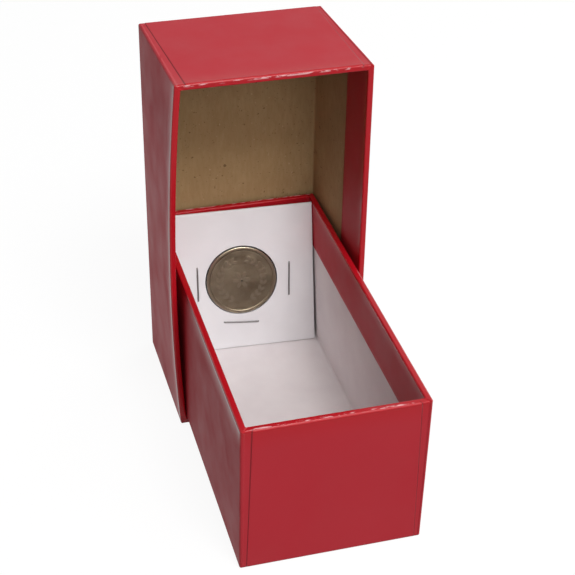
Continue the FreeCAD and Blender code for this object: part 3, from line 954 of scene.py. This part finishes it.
def coin_metal():
    """Struck cupronickel, dulled by years of handling.

    Grey-brown tone lies in the field and round the leaves, and what stands high is rubbed
    brighter and smoother.
    """
    material, tree, shader, place = start("toned_cupronickel", "877862", 0.4, 1.0)
    relief = put(tree, "Attribute", attribute_name="relief").outputs["Fac"]
    high = put(tree, "MapRange", {"Value": relief, "From Min": 0.25, "From Max": 0.95})
    patch = put(tree, "Mapping", {"Vector": place, "Scale": per_mm(5)})
    tone = put(tree, "TexNoise", {"Vector": patch, "Scale": 1.0, "Detail": 4.0})
    toned = put(tree, "MapRange", {"Value": tone, "From Min": 0.35, "From Max": 0.65})
    field = put(tree, "Mix", {0: toned, 6: hex_colour("897b64"), 7: hex_colour("a89980")}, data_type="RGBA")
    colour = put(tree, "Mix", {0: high, 6: field, 7: hex_colour("b9ab91")}, data_type="RGBA")
    dull = put(tree, "MapRange", {"Value": tone, "From Min": 0.3, "From Max": 0.7,
                                  "To Min": 0.36, "To Max": 0.5})
    gloss = put(tree, "Mix", {0: high, 2: dull, 3: 0.28})
    feed(tree, shader, {"Base Color": colour, "Roughness": gloss})
    return material


def staple_steel():
    """Drawn steel wire, bright zinc plated: fine lines run along it and soften its shine."""
    material, tree, shader, place = start("zinc_plated_steel_wire", "8e8c8b", 0.32, 1.0)
    fine = put(tree, "Mapping", {"Vector": place, "Scale": per_mm(0.25)})
    drawn = put(tree, "TexNoise", {"Vector": fine, "Scale": 1.0, "Detail": 2.0})
    gloss = put(tree, "MapRange", {"Value": drawn, "From Min": 0.3, "From Max": 0.7,
                                   "To Min": 0.24, "To Max": 0.42})
    feed(tree, shader, {"Roughness": gloss})
    return material


def clear_film():
    """Cast polyester film, clear and glossy: nearly all passes, and its faces mirror a little.

    The share that shines back follows Fresnel at polyester's index.
    """
    material, tree, shader, place = start("clear_polyester_film", "ffffff", 0.07, 1.0)
    shine = put(tree, "Fresnel", {"IOR": 1.45})
    loose = put(tree, "Mapping", {"Vector": place, "Scale": per_mm(6)})
    slack = put(tree, "TexNoise", {"Vector": loose, "Scale": 1.0, "Detail": 1.0})
    bump = put(tree, "Bump", {"Strength": 0.6, "Distance": 0.12 * MM, "Height": slack})
    feed(tree, shader, {"Normal": bump, "Alpha": shine})
    return material


# The pieces

RED = red_paper()
KRAFT = chipboard()
LINING_PAPER = pale_paper("white_lining_paper", "e2dcdd", "eae5e5", 0.75, 0.5)
CARD = pale_paper("white_coated_card", "e6e5e7", "ecebed", 0.6, 0.8)
STAY_PAPER = pale_paper("gummed_kraft_paper", "9c7a52", "ad8a60", 0.8, 0.6)
COIN = coin_metal()
STEEL = staple_steel()
CLEAR = clear_film()

covering("lid_covering_paper", LID, ["lid_wrap"], RED)
covering("tray_covering_paper", TRAY, ["tray_wrap"], RED)
for half, node in ((LID, "lid_board"), (TRAY, "tray_board")):
    cup(half.body + "_chipboard", half, [node], KRAFT, PAPER + STAY, PAPER + BOARD,
        half.depth - PAPER - RIM_PLAY, BOARD_HOLLOW, BOARD_WAVINESS)
cup("tray_lining_paper", TRAY, ["tray_lining"], LINING_PAPER,
    PAPER + BOARD + LINING_PLAY, PAPER + BOARD + LINING, TRAY.depth - LINING_DOWN,
    LINING_HOLLOW, LINING_WAVINESS)
for half, near, far in ((LID, "bottom", "top"), (TRAY, "front", "rear")):
    for k, corner in enumerate((near + "_right", far + "_right", far + "_left", near + "_left")):
        stay(half, corner, 2 * k + 1, STAY_PAPER)
make_card(CARD)
make_film(CLEAR)
make_coin(COIN)
for name, x, z, angle in STAPLES:
    make_staple(name, x, z, angle, STEEL)


# Stage

FLOOR_SIZE = 6.0        # metres
FLOOR_POINTS = 3        # along each side
FLOOR_TONE = "5c5c5c"
FLOOR_LIFT = 0.92       # added to its own brightness where it is seen
WORLD_SEEN = 0.94       # brightness of the background where it is seen
WORLD_LIGHT = 0.15      # strength of the light from all round
LAMP_AIM = (0, 0, 0.06)  # metres, in the middle of the object
# the lamps' places and sizes in metres, and their watts
LAMPS = (
    ("key", (0.15, -0.8, 1.1), 0.45, 7.9),
    ("bank", (0.35, -0.9, 1.1), 1.3, 8.3),
    ("front", (0.1, -1.3, 0.45), 0.8, 3.2),
    ("back", (1.1, 0.75, 0.7), 0.9, 5.5),
)


def seen_by_eye(tree):
    """1 for rays from the camera and those that a mirror or something clear passes on."""
    path = put(tree, "LightPath")
    mirrored = put(tree, "Math", {0: path.outputs["Is Camera Ray"], 1: path.outputs["Is Glossy Ray"]},
                   operation="MAXIMUM")
    return put(tree, "Math", {0: mirrored, 1: path.outputs["Is Transmission Ray"]}, operation="MAXIMUM")


def make_floor():
    """A level floor of plain grey, pale to the eye.

    The camera, and what mirrors or passes the view, sees it lifted to white, and the
    object's shadow stays on it.
    """
    t = np.linspace(-FLOOR_SIZE / 2, FLOOR_SIZE / 2, FLOOR_POINTS)
    x, y = np.meshgrid(t, t)
    points = np.stack([x, y, 0 * x], -1)
    mesh = bpy.data.meshes.new("floor")
    faces = grid_faces(FLOOR_POINTS, FLOOR_POINTS, False)
    mesh.from_pydata(points.reshape(-1, 3).tolist(), [], faces.tolist())
    material, tree, shader, _ = start("matte_floor", FLOOR_TONE, 0.9)
    lift = put(tree, "Math", {0: seen_by_eye(tree), 1: FLOOR_LIFT}, operation="MULTIPLY")
    feed(tree, shader, {"Specular IOR Level": 0.0, "Emission Color": hex_colour("ffffff"),
                        "Emission Strength": lift})
    mesh.materials.append(material)
    floor = bpy.data.objects.new("floor", mesh)
    bpy.context.scene.collection.objects.link(floor)


def make_world():
    """Even studio light all round, seen as a pale background that the far floor meets."""
    world = bpy.data.worlds.new("studio")
    bpy.context.scene.world = world
    world.use_nodes = True
    tree = world.node_tree
    light = put(tree, "Background", {"Color": hex_colour("ffffff"), "Strength": WORLD_LIGHT})
    white = put(tree, "Background", {"Color": hex_colour("ffffff"), "Strength": WORLD_SEEN})
    mix = put(tree, "MixShader", {0: seen_by_eye(tree), 1: light, 2: white})
    feed(tree, tree.nodes["World Output"], {"Surface": mix})


def make_lamp(name, place, size, power):
    """A soft square lamp that faces the object.

    It is tipped by the angle between straight down and its aim, and turned to it.
    """
    data = bpy.data.lights.new(name, "AREA")
    data.size = size
    data.energy = power
    lamp = bpy.data.objects.new(name, data)
    bpy.context.scene.collection.objects.link(lamp)
    lamp.location = place
    toward = np.array(LAMP_AIM) - np.array(place)
    flat = math.hypot(toward[0], toward[1])
    lamp.rotation_euler = (math.atan2(flat, -toward[2]), 0, math.atan2(-toward[0], toward[1]))


make_floor()
make_world()
for name, place, size, power in LAMPS:
    make_lamp(name, place, size, power)


# Camera, at the photo's viewing angle: degrees, millimetres, and pixels of its frame

AZIMUTH = -14.745
ELEVATION = 32.467
ROLL = -0.078
DISTANCE = 471.64
TARGET = (0.87, 0.0, 37.44)
FOCAL_PIXELS = 1403.0
FRAME_PIXELS = 575
SHIFT_PIXELS = (33.79, -9.02)
SENSOR = 36.0


def make_camera():
    """Looks at the target from its azimuth, elevation and distance, with a shifted frame."""
    a, e = math.radians(AZIMUTH), math.radians(ELEVATION)
    back = np.array([math.sin(a) * math.cos(e), -math.cos(a) * math.cos(e), math.sin(e)])
    data = bpy.data.cameras.new("camera")
    data.sensor_width = SENSOR
    data.lens = SENSOR * FOCAL_PIXELS / FRAME_PIXELS
    data.shift_x = SHIFT_PIXELS[0] / FRAME_PIXELS
    data.shift_y = SHIFT_PIXELS[1] / FRAME_PIXELS
    data.clip_start = 0.01
    camera = bpy.data.objects.new("camera", data)
    bpy.context.scene.collection.objects.link(camera)
    camera.location = (np.array(TARGET) + back * DISTANCE) * MM
    camera.rotation_euler = (math.pi / 2 - e, math.radians(ROLL), a)
    bpy.context.scene.camera = camera


make_camera()
bpy.context.scene.view_settings.view_transform = "Standard"
